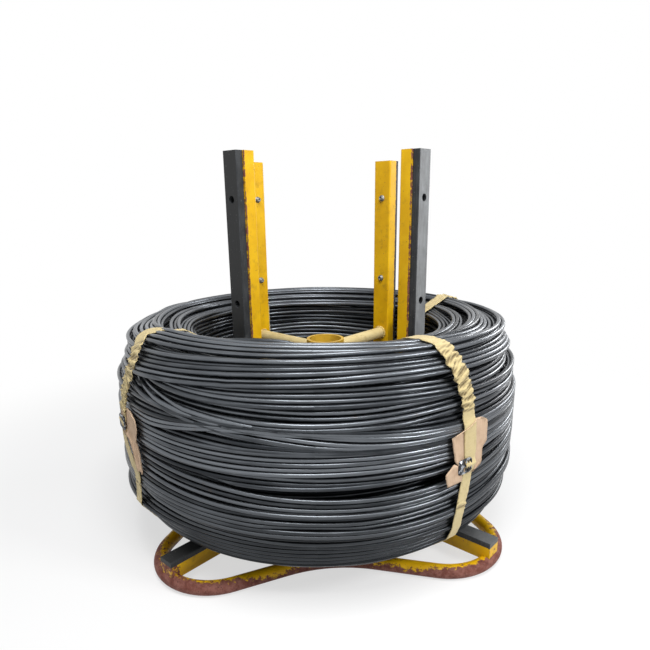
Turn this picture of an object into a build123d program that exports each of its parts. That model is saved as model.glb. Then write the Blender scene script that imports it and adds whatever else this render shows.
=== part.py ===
import math
import os

from build123d import *

# A coil of steel wire rod on its steel carrier, strapped for handling.
# Millimetres. The origin is on the floor, on the axis of the carrier's centre tube, with +Z up.
# The front is towards -Y and the right is towards +X.

# Wire rod coil
wire_diameter = 13.0
coil_bore_radius = 425.0
coil_belly_radius = 682.0
coil_height = 638.0
coil_sideways_shift = -30.0  # the coil hangs a little to the left of the carrier's axis
coil_crest_inset = 90.0  # from the bore to the highest turn of the top end
coil_bore_drop = 45.0  # how far the top turn at the bore lies below the crest
coil_shoulder_drop = 27.0  # how far the top end falls from its crest to its outer turn
coil_shoulder_inset = 84.0  # from the belly in to the top end's outer turn
coil_heel_inset = 118.0  # from the belly in to the bottom end's outer turn
coil_belly_height = 306.0  # from the coil's underside up to its widest turn
groove_depth = 4.5  # of the groove between two turns, on the coil's ends
bundle_width = 62.0  # along the flank, of a bundle of turns that lie together
bundle_groove_depth = 9.0  # of the groove between two bundles

# Carrier: one bent pipe on the floor, four arms, four uprights and a centre tube
carrier_turn = 41.9  # the front left arm points this far left of straight forward, in degrees
pipe_diameter = 42.4
petal_radius = 177.0
petal_reach_left = 698.0  # axis of the pipe at a petal's tip, from the centre
petal_reach_right = 668.0  # the loop was bent by hand, and its right petals are shorter
waist_radius = 423.0
waist_reach = 447.0  # axis of the pipe at a waist, from the centre

arm_width = 54.0
arm_height = 43.0
arm_wall = 4.0
arm_underside = 30.0
arm_overhang = 11.0  # the arm's end, past the axis of the pipe
arm_pad_thickness = 16.0
weld_gap = 0.3  # between an arm's coped end and the pipe or tube that it is welded to

channel_web = 72.0
channel_flange = 39.0
channel_wall = 7.0
channel_corner = 5.0
upright_top = 1230.0
pad_face_radius = 391.0  # outer face of the upright pads, from the centre
pad_proud = 22.5  # how far the pad stands out of its channel
pad_bevel = 2.0
bolt_pitch = 300.0
first_bolt = 197.0
bolt_hole = 14.0
counterbore = 22.0
counterbore_depth = 26.0

tube_diameter = 133.0
tube_wall = 10.0
tube_top = 618.0
strut_diameter = 42.4
strut_axis_below_top = 39.0

# Four straps over the coil, each with a buckle and a sheet of cardboard under it on the flank
strap_width = 50.0
strap_thickness = 2.0
strap_gap = 1.0
board_thickness = 3.0
board_width = 150.0
board_height = 196.0
board_gap = 0.3
buckle_width = 60.0
buckle_height = 44.0
buckle_thickness = 6.0
buckle_bar = 8.0
buckle_gap = 0.3
strap_headings = {"left": -58.0, "front_right": 38.0, "back_right": 121.5, "back_left": -150.0}
# Middle of each cardboard and of each buckle, above the coil's underside
board_levels = {"left": 299.0, "front_right": 337.0, "back_right": 320.0, "back_left": 320.0}
buckle_levels = {"left": 372.0, "front_right": 303.0, "back_right": 320.0, "back_left": 320.0}

corners = ("front_left", "front_right", "back_right", "back_left")
coil_bottom = arm_underside + arm_height + arm_pad_thickness
arm_top = arm_underside + arm_height
tube_radius = tube_diameter / 2
web_face_radius = pad_face_radius - pad_proud - channel_flange


def corner_angle(index):
    """Angle of a corner's arm about +Z, in degrees, counted from +X."""
    return index * 90 - 90 - carrier_turn


def petal_reach(name):
    return petal_reach_left if name.endswith("left") else petal_reach_right


def ridged_run(start, end):
    """Points along a run of wire turns: a crest for each turn and a groove between neighbours."""
    (r0, z0), (r1, z1) = start, end
    length = math.hypot(r1 - r0, z1 - z0)
    turns = round(length / wire_diameter)
    across = (-(z1 - z0) / length * groove_depth, (r1 - r0) / length * groove_depth)
    points = [start]
    for turn in range(1, 2 * turns):
        share = turn / (2 * turns)
        sunk = 1 if turn % 2 == 0 else 0
        level = z0 + (z1 - z0) * share + across[1] * sunk
        points.append((r0 + (r1 - r0) * share + across[0] * sunk, level))
    points.append(end)
    return points


def bundled_run(corner_points):
    """Points along a stretch of the flank: a groove between each two bundles of turns, and their crests."""
    run = Polyline(*corner_points)
    bundles = round(run.length / bundle_width)
    points = []
    for step in range(1, 2 * bundles):
        place = run @ (step / (2 * bundles))
        along = run % (step / (2 * bundles))
        sunk = bundle_groove_depth if step % 2 == 1 else 0
        points.append((place.X - along.Y * sunk, place.Y + along.X * sunk))
    return points


def coil_envelope():
    """Corners of the coil's half section over the crests of its turns, from the bore's foot outwards."""
    top = coil_bottom + coil_height
    heel = (coil_belly_radius - coil_heel_inset, coil_bottom)
    shoulder = (coil_belly_radius - coil_shoulder_inset, top - coil_shoulder_drop)
    crest = (coil_bore_radius + coil_crest_inset, top)
    return {
        "foot": (coil_bore_radius, coil_bottom),
        "heel": heel,
        "lower_flank": [
            (coil_belly_radius - 0.40 * coil_heel_inset, coil_bottom + 0.08 * coil_height),
            (coil_belly_radius - 0.20 * coil_heel_inset, coil_bottom + 0.17 * coil_height),
            (coil_belly_radius - 0.05 * coil_heel_inset, coil_bottom + 0.36 * coil_height),
        ],
        "belly": (coil_belly_radius, coil_bottom + coil_belly_height),
        "upper_flank": [
            (coil_belly_radius - 0.06 * coil_shoulder_inset, coil_bottom + 0.66 * coil_height),
            (coil_belly_radius - 0.26 * coil_shoulder_inset, coil_bottom + 0.80 * coil_height),
            (coil_belly_radius - 0.62 * coil_shoulder_inset, coil_bottom + 0.90 * coil_height),
        ],
        "shoulder": shoulder,
        "crest": crest,
        "rim": (coil_bore_radius, top - coil_bore_drop),
    }


def coil_section():
    """The smooth half section, which the straps are drawn over."""
    env = coil_envelope()
    flank = [*env["lower_flank"], env["belly"], *env["upper_flank"]]
    corner_points = [env["foot"], env["heel"], *flank, env["shoulder"], env["crest"], env["rim"]]
    return make_face(Polyline(*corner_points, close=True))


def wire_coil():
    """The turned coil: its bore, its turns as ridges on both ends, and bundles up its barrel-shaped flank."""
    env = coil_envelope()
    under = ridged_run(env["foot"], env["heel"])
    lower = bundled_run([env["heel"], *env["lower_flank"], env["belly"]])
    upper = bundled_run([env["belly"], *env["upper_flank"], env["shoulder"]])
    outer = ridged_run(env["shoulder"], env["crest"])
    inner = ridged_run(env["crest"], env["rim"])
    outline = Polyline(*under, *lower, env["belly"], *upper, *outer, *inner[1:], close=True)
    solid = revolve(Plane.XZ * make_face(outline), Axis.Z)
    return Pos(coil_sideways_shift, 0, 0) * solid


def petal(name, pipe_radius):
    """A quarter of the bent pipe: half a waist, the petal's round tip and half the next waist.

    The petal points along +X. Its tip's arc and the waist's arc bend opposite ways, and the
    straight run between them touches both.
    """
    tip_centre = petal_reach(name) - petal_radius
    diagonal = (waist_reach + waist_radius) / math.sqrt(2)
    dx, dy = diagonal - tip_centre, diagonal
    spread = math.acos((petal_radius + waist_radius) / math.hypot(dx, dy))
    half = math.degrees(math.atan2(dy, dx) - spread)
    radians = math.radians(half)
    tip_end = (tip_centre + petal_radius * math.cos(radians), petal_radius * math.sin(radians))
    waist_end = (diagonal - waist_radius * math.cos(radians), diagonal - waist_radius * math.sin(radians))
    waist_turn = half - 45

    left_waist = CenterArc((diagonal, diagonal), waist_radius, 180 + half, -waist_turn)
    right_waist = CenterArc((diagonal, -diagonal), waist_radius, 180 - half + waist_turn, -waist_turn)
    tip = CenterArc((tip_centre, 0), petal_radius, -half, 2 * half)
    path = Wire(
        [
            right_waist.edge(),
            Line((waist_end[0], -waist_end[1]), (tip_end[0], -tip_end[1])).edge(),
            tip.edge(),
            Line(tip_end, waist_end).edge(),
            left_waist.edge(),
        ]
    )
    start = Plane(origin=path @ 0, z_dir=path % 0)
    return sweep(start * Circle(pipe_radius), path=path)


def base_loop(pipe_radius):
    """The pipe bent into four petals, lying on the floor."""
    loop = None
    for index, name in enumerate(corners):
        quarter = Rot(0, 0, corner_angle(index)) * petal(name, pipe_radius)
        loop = quarter if loop is None else loop + quarter
    return Pos(0, 0, pipe_diameter / 2) * loop


def arm(name, pipe_cut, tube_cut):
    """A box-section arm from the centre tube to the petal's tip, coped over the pipe and to the tube."""
    end = petal_reach(name) + arm_overhang
    low = (Align.MIN, Align.CENTER, Align.MIN)
    outer = Pos(0, 0, arm_underside) * Box(end, arm_width, arm_height, align=low)
    inside = Box(end - arm_wall, arm_width - 2 * arm_wall, arm_height - 2 * arm_wall, align=low)
    return outer - Pos(0, 0, arm_underside + arm_wall) * inside - tube_cut - pipe_cut


def arm_pad(name):
    """The plastic bar on an arm, from the upright's pad to the arm's end, which the coil sits on."""
    length = petal_reach(name) + arm_overhang - pad_face_radius
    bar = Box(length, arm_width, arm_pad_thickness, align=(Align.MIN, Align.CENTER, Align.MIN))
    bar = chamfer(bar.edges().filter_by(Axis.X).group_by(Axis.Z)[-1], pad_bevel)
    return Pos(pad_face_radius, 0, arm_top) * bar


def bolt_levels():
    """Heights of the bolts in an upright, up to its top."""
    count = int((upright_top - bolt_hole - first_bolt) // bolt_pitch) + 1
    return [first_bolt + bolt_pitch * step for step in range(count)]


def hole_row(diameter, start, length):
    """A row of round cutters along an upright, pointing outwards."""
    row = []
    for level in bolt_levels():
        across = Plane(origin=(start, 0, level), z_dir=(1, 0, 0))
        row.append(across * Cylinder(diameter / 2, length, align=(Align.CENTER, Align.CENTER, Align.MIN)))
    return row


def upright():
    """A channel on the arm, its web towards the centre and its flanges outwards."""
    low = (Align.MIN, Align.CENTER, Align.MIN)
    height = upright_top - arm_top
    outer = Pos(web_face_radius, 0, arm_top) * Box(channel_flange, channel_web, height, align=low)
    outer = fillet(outer.edges().filter_by(Axis.Z).group_by(Axis.X)[0], channel_corner)
    inside = Box(channel_flange, channel_web - 2 * channel_wall, height, align=low)
    section = outer - Pos(web_face_radius + channel_wall, 0, arm_top) * inside
    return section - hole_row(bolt_hole, web_face_radius - 1, channel_wall + 2)


def upright_pad():
    """The plastic bar that fills the channel and stands out of it, with counterbored bolt holes."""
    depth = pad_face_radius - web_face_radius - channel_wall
    bar = Box(
        depth,
        channel_web - 2 * channel_wall,
        upright_top - arm_top,
        align=(Align.MIN, Align.CENTER, Align.MIN),
    )
    bar = chamfer(bar.edges().filter_by(Axis.Z).group_by(Axis.X)[-1], pad_bevel)
    bar = Pos(web_face_radius + channel_wall, 0, arm_top) * bar
    bar -= hole_row(bolt_hole, web_face_radius, depth + 2 * channel_wall)
    return bar - hole_row(counterbore, pad_face_radius - counterbore_depth, counterbore_depth + 1)


def centre_tube():
    outer = Cylinder(tube_radius, tube_top, align=(Align.CENTER, Align.CENTER, Align.MIN))
    bore = Cylinder(tube_radius - tube_wall, tube_top, align=(Align.CENTER, Align.CENTER, Align.MIN))
    return outer - bore


def strut(tube_cut):
    """A round bar between the centre tube and an upright's web, coped to the tube."""
    level = tube_top - strut_axis_below_top
    across = Plane(origin=(0, 0, level), z_dir=(1, 0, 0))
    bar = across * Cylinder(
        strut_diameter / 2, web_face_radius, align=(Align.CENTER, Align.CENTER, Align.MIN)
    )
    return bar - tube_cut


def flank_window(level, height):
    """A rectangle round the coil's flank at a level above its underside, in the plane of its section."""
    return Pos(coil_belly_radius, coil_bottom + level) * Rectangle(2 * coil_shoulder_inset, height)


def board_section(name):
    """The cardboard's section, against the coil's flank."""
    outside = offset(coil_section(), board_gap + board_thickness, kind=Kind.INTERSECTION)
    skin = outside - offset(coil_section(), board_gap, kind=Kind.INTERSECTION)
    return skin & flank_window(board_levels[name], board_height)


def wrapped_section(name):
    """What a strap goes round: the coil's half section with the cardboard on its flank."""
    board_room = offset(coil_section(), board_gap + board_thickness, kind=Kind.INTERSECTION)
    return coil_section() + (board_room & flank_window(board_levels[name], board_height))


def heading_place(heading):
    """The coil's axis, turned so that +X points to a heading, counted from straight forward."""
    return Pos(coil_sideways_shift, 0, 0) * Rot(0, 0, heading - 90)


def strap(name):
    """The strap's closed run round the coil's section and over the cardboard."""
    core = wrapped_section(name)
    inner = offset(core, strap_gap, kind=Kind.INTERSECTION)
    band = offset(core, strap_gap + strap_thickness, kind=Kind.INTERSECTION) - inner
    return heading_place(strap_headings[name]) * extrude(Plane.XZ * band, strap_width / 2, both=True)


def board(name):
    """The cardboard, bent to the coil's flank."""
    turn = math.degrees(board_width / coil_belly_radius)
    sheet = revolve(Plane.XZ * board_section(name), Axis.Z, turn)
    return heading_place(strap_headings[name] - turn / 2) * sheet


def buckle(name):
    """A flat buckle on the strap, with a window above and below its middle bar."""
    under = strap_gap + strap_thickness + buckle_gap
    core = wrapped_section(name)
    outside = offset(core, under + buckle_thickness, kind=Kind.INTERSECTION)
    skin = outside - offset(core, under, kind=Kind.INTERSECTION)
    on_flank = skin & flank_window(buckle_levels[name], buckle_height)
    plate = extrude(Plane.XZ * on_flank, buckle_width / 2, both=True)
    window_height = (buckle_height - 3 * buckle_bar) / 2
    window = Box(4 * coil_shoulder_inset, buckle_width - 2 * buckle_bar, window_height)
    middle = coil_bottom + buckle_levels[name]
    for side in (-1, 1):
        rise = side * (buckle_bar + window_height) / 2
        plate -= Pos(coil_belly_radius, 0, middle + rise) * window
    return heading_place(strap_headings[name]) * plate


def save(name, shape):
    solids = shape.solids()
    if len(solids) != 1:
        raise ValueError(f"{name} has {len(solids)} solids")
    export_step(solids[0], f"parts/{name}.step")


def main():
    os.makedirs("parts", exist_ok=True)
    save("wire_coil", wire_coil())
    save("base_loop", base_loop(pipe_diameter / 2))
    save("centre_tube", centre_tube())

    pipe_cut = base_loop(pipe_diameter / 2 + weld_gap)
    tube_cut = Cylinder(tube_radius + weld_gap, tube_top, align=(Align.CENTER, Align.CENTER, Align.MIN))
    channel = upright()
    channel_pad = upright_pad()
    brace = strut(tube_cut)
    for index, name in enumerate(corners):
        turn = Rot(0, 0, corner_angle(index))
        save(f"arm_{name}", turn * arm(name, turn.inverse() * pipe_cut, tube_cut))
        save(f"arm_pad_{name}", turn * arm_pad(name))
        save(f"upright_{name}", turn * channel)
        save(f"upright_pad_{name}", turn * channel_pad)
        save(f"strut_{name}", turn * brace)

    for name in strap_headings:
        save(f"strap_{name}", strap(name))
        save(f"cardboard_{name}", board(name))
        save(f"buckle_{name}", buckle(name))


main()
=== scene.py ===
import math

import bpy
import numpy as np
from mathutils import Euler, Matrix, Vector


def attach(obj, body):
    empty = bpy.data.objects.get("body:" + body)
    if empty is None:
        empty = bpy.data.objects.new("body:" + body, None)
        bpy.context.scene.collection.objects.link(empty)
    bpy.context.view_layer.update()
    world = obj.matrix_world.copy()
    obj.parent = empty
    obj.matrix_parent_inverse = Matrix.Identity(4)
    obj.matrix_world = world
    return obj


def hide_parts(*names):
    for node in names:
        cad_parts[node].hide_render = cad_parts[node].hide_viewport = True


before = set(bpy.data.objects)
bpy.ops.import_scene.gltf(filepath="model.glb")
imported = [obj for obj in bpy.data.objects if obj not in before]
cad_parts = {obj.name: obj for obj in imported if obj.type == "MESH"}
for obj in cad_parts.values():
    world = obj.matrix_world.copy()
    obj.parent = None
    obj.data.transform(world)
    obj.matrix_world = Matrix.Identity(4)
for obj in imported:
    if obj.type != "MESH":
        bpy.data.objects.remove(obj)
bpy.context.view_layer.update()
draw = np.random.default_rng(11)

# Sizes are in millimetres, and add_mesh turns them into the frame's metres. Sizes in the materials
# and the places of the lamps and the camera are in metres.
# Headings are in degrees from straight forward (-Y), positive to the right (+X).
METRE = 1000.0
UP = np.array([0.0, 0.0, 1.0])

# Coil
wire = 13.0  # diameter
coil_shift = -30.0  # the coil's axis from the carrier's, to the right
coil_bottom = 89.0
coil_belly = 682.0
section_corners = [  # half section over the crests of the turns: distance from the coil's axis, height
    (425, 89), (564, 89), (634.8, 140), (658.4, 197), (676, 319), (682, 395), (677, 510), (662, 590),
    (645, 645), (632, 680), (605, 708), (565, 725), (525, 727), (470, 715), (425, 680),
]
flank_inset = 2.0  # of the outer turns' backs from that outline, where nothing lifts them
belly_gap = 0.5  # that the turns keep from the belly's widest line
section_rounding = 9.0  # of the corners of that outline
lit_rise = 0.4 * wire  # of a turn's lit line over its middle
shoulder_start = 640.0  # a level counts height up to here, and then the way over the top
tilt_start, tilt_end = 480.0, 727.0  # heights between which the coil's top leans back
tilt_front, tilt_back = 18.0, 15.0  # how much higher its front is, and how much lower its back
lean_inside, lean_outside = 425.0, 525.0  # reaches between which the front's lean grows
stations = 144  # points round one turn
wire_sides = 8
bridge_rounds = 30  # rounds of smoothing that carry a turn over dips in those below it
core_depth, core_ridge, core_step = 50.0, 4.0, 4.0  # of the dark core under the section line

# Carrier
carrier_turn = 41.9
corners = ("front_left", "front_right", "back_right", "back_left")
corner_headings = (-carrier_turn, 90 - carrier_turn, 180 - carrier_turn, 270 - carrier_turn)
web_face = 329.5  # of an upright, from the middle
bolt_levels = (197.0, 497.0, 797.0, 1097.0)
bolt_head = [  # (radius, distance from the web) of the washer, the head and its socket
    (11.5, -2.0), (11.5, 1.6), (9.0, 2.0), (9.0, 6.5), (8.0, 8.6), (5.6, 9.6), (4.4, 9.4), (4.2, 4.5),
    (1.0, 4.2),
]
strut_radius = 21.2
strut_level = 579.0
weld_size = 4.5

# Wear and dirt, and the coil's painted shade, in metres: where each starts and where it is full. Feet and
# the coil's painted shade are heights, and the others are distances from the middle.
flange_edges = (0.3625, 0.3685)
web_corners = (0.0335, 0.036)  # from the middle of an upright's web
upright_feet = (0.22, 0.07)
tube_feet = (0.12, 0.04)
arm_feet = (0.040, 0.030)
arm_ends = (0.655, 0.70)
petal_tips = (0.52, 0.69)
# painted shade: the coil's turns darken below the first height, most at the second
coil_shade = (0.50, 0.14)
# Grey levels of the pads' outward faces, 0 to 255: worn grey, and painted light too, lighter where more
# light falls
seat_greys_worn_and_lit = (48, 92, 48, 48)  # of the arm pads, in the order of the corners
face_greys_worn_and_lit = (44, 122, 90, 60)  # of the upright pads

# Straps, each with a buckle and a sheet of cardboard. Angles on a strap's way round the section
# are 0 on the flank, 90 on top, -90 underneath and 180 in the bore.
strap_thickness = 2.0
strap_gap = 0.3  # from the turns
strap_step = 2.5  # between a strap's cross rows
strap_columns = 11
fold_waves = ((33.0, 0.3), (19.0, 0.55), (9.0, 0.35))  # (length, share of the depth)
flat_crumple = 0.7  # depth of the creases where a strap isn't ruched
section_middle = (553.0, 390.0)
strap_headings = {"left": -58.0, "front_right": 38.0, "back_right": 121.5, "back_left": -150.0}
strap_drift = {  # {angle on its way: heading}
    "left": {-180: -55, -100: -57, -68: -55, -50: -52, -34: -51, -17: -53.3, 2: -57.5, 14: -58, 47: -56.2,
             56: -54.7, 63: -52, 71: -52, 77: -54, 82: -57.6, 86: -54, 89: -50, 94: -52, 105: -60, 130: -62,
             180: -56},
    "front_right": {-180: 36, -120: 38, -74: 37.7, -53: 35.7, -45: 35.6, -39: 36.1, -30: 36.8, -14: 37.4,
                    17: 37.8, 46: 37.2, 57: 36.6, 65: 35.3, 74: 33.3, 79: 32.4, 86: 32.2, 92: 33, 100: 36,
                    120: 40, 150: 40, 180: 37},
    "back_right": {-180: 118, -60: 121.5, 60: 121.5, 75: 120, 85: 118, 93: 114.8, 100: 112.8, 114: 108,
                   140: 110, 180: 118},
    "back_left": {-180: -148, 0: -150, 90: -147, 180: -148},
}
strap_widths = {-180: 50, -100: 46, -60: 36, -38: 36, -30: 40, -14: 38, -4: 40, 8: 44, 20: 50, 44: 48,
                56: 46, 66: 52, 76: 52, 84: 50, 120: 50, 180: 50}
twisted = {  # share of the width that shows where a strap is twisted, {angle: share}
    "left": {-180: 1.0, 78: 1.0, 84: 0.9, 87: 0.55, 91: 0.3, 97: 0.25, 112: 0.6, 180: 1.0},
}
ruched = {  # (first angle, last angle, depth of the folds)
    "left": [(42, 74, 10.0), (-40, -36, 4.0)],
    "front_right": [(54, 74, 12.0), (74, 82, 3.0), (-44, -41, 5.0)],
    "back_right": [(66, 84, 10.0)],
    "back_left": [(58, 80, 9.0)],
}
flank_angle = 60.0  # the flank is within this angle on the way
board_thickness = 3.0
board_gap = 1.0
board_columns, board_step = 12, 6.0
ragged_edge = 0.5  # unevenness of a sheet's sides
board_rows = {  # (height, left edge, right edge), the edges counted along the flank from the strap's heading
    "front_right": [(367, -5, 7), (382, -36, 45), (418, -66, 46), (427, -69, 47), (445, -72, 66),
                    (488, -80, 61), (499, -28, 60), (510, 2, 58), (519, 12, 40)],
    "left": [(335, 106, 132), (370, 92, 127), (400, 84, 120), (426, 62, 112), (432, 6, 113), (445, 4, 118),
             (471, 4, 130), (498, 8, 126), (512, 24, 96)],
    "back_right": [(311, -75, 74), (409, -77, 75), (507, -74, 76)],
    "back_left": [(311, -74, 75), (409, -76, 76), (507, -75, 73)],
}
flap_rows = [(350, -90, -31), (372, -99, -34), (392, -106, -37)]  # the torn flap of the front right sheet
flap_peak = 21.0
buckle_levels = {"left": 461.0, "front_right": 394.0, "back_right": 409.0, "back_left": 409.0}
buckle_aside = {"front_right": -22.0}  # of those that aren't in the strap's middle
buckle_width, buckle_height, buckle_rod, buckle_corner = 56.0, 44.0, 6.0, 9.0
bar_radius, tongue_radius = 0.45 * buckle_rod, 0.4 * buckle_rod
plate_edge = -7.0  # of the plate on the buckle's left, from its middle
tongues = (4.0, 14.0)  # places of the two upright rods on its right
bar_lift, bar_spread = 9.0, 7.0  # how far the strap rises over the buckle's bar, and over what height


# Meshes

def new_object(name, data):
    made = bpy.data.objects.new(name, data)
    bpy.context.scene.collection.objects.link(made)
    return made


def add_mesh(name, points, faces, material, replaced=(), uv=None, tone=None):
    """A mesh object from arrays of points in millimetres and four-sided faces."""
    mesh = bpy.data.meshes.new(name)
    mesh.vertices.add(len(points))
    mesh.vertices.foreach_set("co", (np.asarray(points) / METRE).astype(np.float32).ravel())
    mesh.loops.add(4 * len(faces))
    mesh.loops.foreach_set("vertex_index", faces.astype(np.int32).ravel())
    mesh.polygons.add(len(faces))
    mesh.polygons.foreach_set("loop_start", np.arange(0, 4 * len(faces), 4, dtype=np.int32))
    mesh.polygons.foreach_set("use_smooth", np.ones(len(faces), bool))
    if uv is not None:
        layer = mesh.uv_layers.new(name="UVMap")
        layer.data.foreach_set("uv", uv[faces.ravel()].astype(np.float32).ravel())
    # the tone attribute: a random tone for each turn, and painted shade in a strap's folds
    if tone is not None:
        layer = mesh.attributes.new("tone", "FLOAT", "POINT")
        layer.data.foreach_set("value", tone.astype(np.float32))
    mesh.update(calc_edges=True)
    mesh.validate()
    mesh.materials.append(material)
    piece = new_object(name, mesh)
    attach(piece, "root")
    if replaced:
        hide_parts(*replaced)
    return piece


def loft_faces(count, sides, first=0, closed=True):
    """Faces between rings of points, and two caps of four-sided faces where the row of rings is open."""
    row = np.arange(count if closed else count - 1)[:, None] * sides
    next_row = (row + sides) % (count * sides)
    column = np.arange(sides)
    next_column = (column + 1) % sides
    corner = [row + column, row + next_column, next_row + next_column, next_row + column]
    faces = np.stack(corner, -1).reshape(-1, 4)
    if not closed:
        half = np.arange(sides // 2 - 1)
        cap = np.stack([half, sides - 1 - half, sides - 2 - half, half + 1], -1)
        faces = np.concatenate([faces, cap, cap[:, ::-1] + (count - 1) * sides])
    return faces + first


def add_lofts(name, lofts, material, replaced=(), closed=True, uvs=None, tones=None):
    """One piece from several lofts, each an array of rings of points. closed may be given for each."""
    closed = [closed] * len(lofts) if isinstance(closed, bool) else closed
    points, faces, tone = [], [], []
    first = 0
    for index, rings in enumerate(lofts):
        count, sides = rings.shape[:2]
        points.append(rings.reshape(-1, 3))
        faces.append(loft_faces(count, sides, first, closed[index]))
        if tones is not None:
            tone.append(np.broadcast_to(tones[index], (count, sides)).ravel())
        first += count * sides
    uv = None if uvs is None else np.concatenate([u.reshape(-1, 2) for u in uvs])
    tone = np.concatenate(tone) if tones is not None else None
    return add_mesh(name, np.concatenate(points), np.concatenate(faces), material, replaced, uv, tone)


# Node materials

class Graph:
    """The nodes of a new material or world, built with short calls that return an output socket."""

    def __init__(self, name, kind=bpy.data.materials):
        self.owner = kind.new(name)
        self.owner.use_nodes = True
        self.tree = self.owner.node_tree
        self.tree.nodes.clear()
        self.place = self.node("TexCoord").outputs["Object"]

    def node(self, kind, inputs=None, **settings):
        made = self.tree.nodes.new("ShaderNode" + kind)
        for key, value in settings.items():
            setattr(made, key, value)
        for key, value in (inputs or {}).items():
            if isinstance(value, bpy.types.NodeSocket):
                self.tree.links.new(value, made.inputs[key])
            else:
                made.inputs[key].default_value = value
        return made

    def math(self, operation, first, second=0.0, third=0.0):
        inputs = {0: first, 1: second, 2: third}
        return self.node("Math", inputs, operation=operation).outputs[0]

    def times(self, first, second):
        return self.math("MULTIPLY", first, second)

    def weighed(self, *parts):
        """The sum of values, each given with its weight."""
        total = 0.0
        for value, weight in reversed(parts):
            total = self.math("MULTIPLY_ADD", value, weight, total)
        return total

    def span(self, value, low, high, start=0.0, end=1.0):
        """A smooth step from start to end as value goes from low to high."""
        inputs = {"Value": value, "From Min": low, "From Max": high, "To Min": start, "To Max": end}
        return self.node("MapRange", inputs, interpolation_type="SMOOTHSTEP").outputs["Result"]

    def noise(self, size, detail=3.0, roughness=0.55, vector=None):
        """Noise whose grains are about size metres wide."""
        inputs = {"Scale": 1 / size, "Detail": detail, "Roughness": roughness}
        inputs["Vector"] = self.place if vector is None else vector
        return self.node("TexNoise", inputs).outputs["Fac"]

    def mix(self, share, first, second):
        inputs = {0: share, 6: first, 7: second}
        return self.node("Mix", inputs, data_type="RGBA").outputs[2]

    def parts(self, vector):
        return self.node("SeparateXYZ", {0: vector}).outputs

    def vector(self, x, y, z):
        return self.node("CombineXYZ", {0: x, 1: y, 2: z}).outputs[0]

    def level_length(self, x, y):
        squares = self.math("ADD", self.times(x, x), self.times(y, y))
        return self.math("SQRT", squares)

    def facing(self):
        """How far the surface faces out from the carrier's middle, and how far up, from -1 to 1."""
        normal = self.node("NewGeometry").outputs["Normal"]
        x, y, _ = self.parts(self.place)
        level = self.node("VectorMath", {0: self.vector(x, y, 0.0)}, operation="NORMALIZE").outputs[0]
        out = self.node("VectorMath", {0: normal, 1: level}, operation="DOT_PRODUCT").outputs["Value"]
        return out, self.parts(normal)[2]

    def seen(self):
        """1 where the camera sees the surface straight, mirrored or through glass, and 0 elsewhere."""
        rays = self.node("LightPath").outputs
        straight = self.math("MAXIMUM", rays["Is Camera Ray"], rays["Is Glossy Ray"])
        return self.math("MAXIMUM", straight, rays["Is Transmission Ray"])

    def bump(self, height, distance, strength=1.0):
        inputs = {"Height": height, "Distance": distance, "Strength": strength}
        return self.node("Bump", inputs).outputs["Normal"]

    def finish(self, **inputs):
        """The shader, with its inputs named in lower case."""
        named = {key.replace("_", " ").title().replace("Ior", "IOR"): value for key, value in inputs.items()}
        shader = self.node("BsdfPrincipled", named)
        self.node("OutputMaterial", {"Surface": shader.outputs[0]})
        return self.owner


def srgb(red, green, blue):
    """A colour as a picture shows it, 0 to 255, as the shader's linear colour."""
    linear = [((c / 255 + 0.055) / 1.055) ** 2.4 if c > 10 else c / 3294 for c in (red, green, blue)]
    return (*linear, 1.0)


def wire_steel():
    """Dark mill-finish steel: satin, with streaks along the turns, each turn a little different, and painted
    shade towards the coil's bottom.
    """
    g = Graph("wire_steel")
    x, y, z = g.parts(g.place)
    x = g.math("SUBTRACT", x, coil_shift / METRE)
    heading = g.math("ARCTAN2", x, y)
    along = g.vector(g.times(heading, 0.02), g.level_length(x, y), z)
    streak = g.noise(0.006, 3, 0.6, along)
    patch = g.noise(0.11, 2)
    tone = g.node("Attribute", attribute_name="tone").outputs["Fac"]
    shade = g.weighed((streak, 0.55), (patch, 0.35), (tone, 0.6))
    base = g.mix(g.span(shade, 0.40, 1.05), srgb(40, 43, 47), srgb(104, 108, 113))
    rust = g.times(g.span(g.noise(0.035, 4, 0.65), 0.66, 0.76), 0.35)
    base = g.mix(rust, base, srgb(92, 78, 68))
    # painted shade: darker towards the bottom of the coil, where less light falls
    base = g.mix(g.span(z, *coil_shade, 0.0, 0.72), base, srgb(28, 30, 32))
    rough = g.span(streak, 0.3, 0.7, 0.36, 0.26)
    grain = g.noise(0.0012, 2, 0.5, along)
    return g.finish(base_color=base, metallic=0.85, roughness=rough, normal=g.bump(grain, 0.00006))


def carrier_lines(g):
    """Distance out along the nearest arm, and sideways from its middle, in metres."""
    inputs = {"Vector": g.place, "Angle": math.radians(carrier_turn)}
    turned = g.node("VectorRotate", inputs, rotation_type="Z_AXIS").outputs[0]
    x, y, _ = g.parts(turned)
    x, y = g.math("ABSOLUTE", x), g.math("ABSOLUTE", y)
    return g.math("MAXIMUM", x, y), g.math("MINIMUM", x, y)


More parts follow.
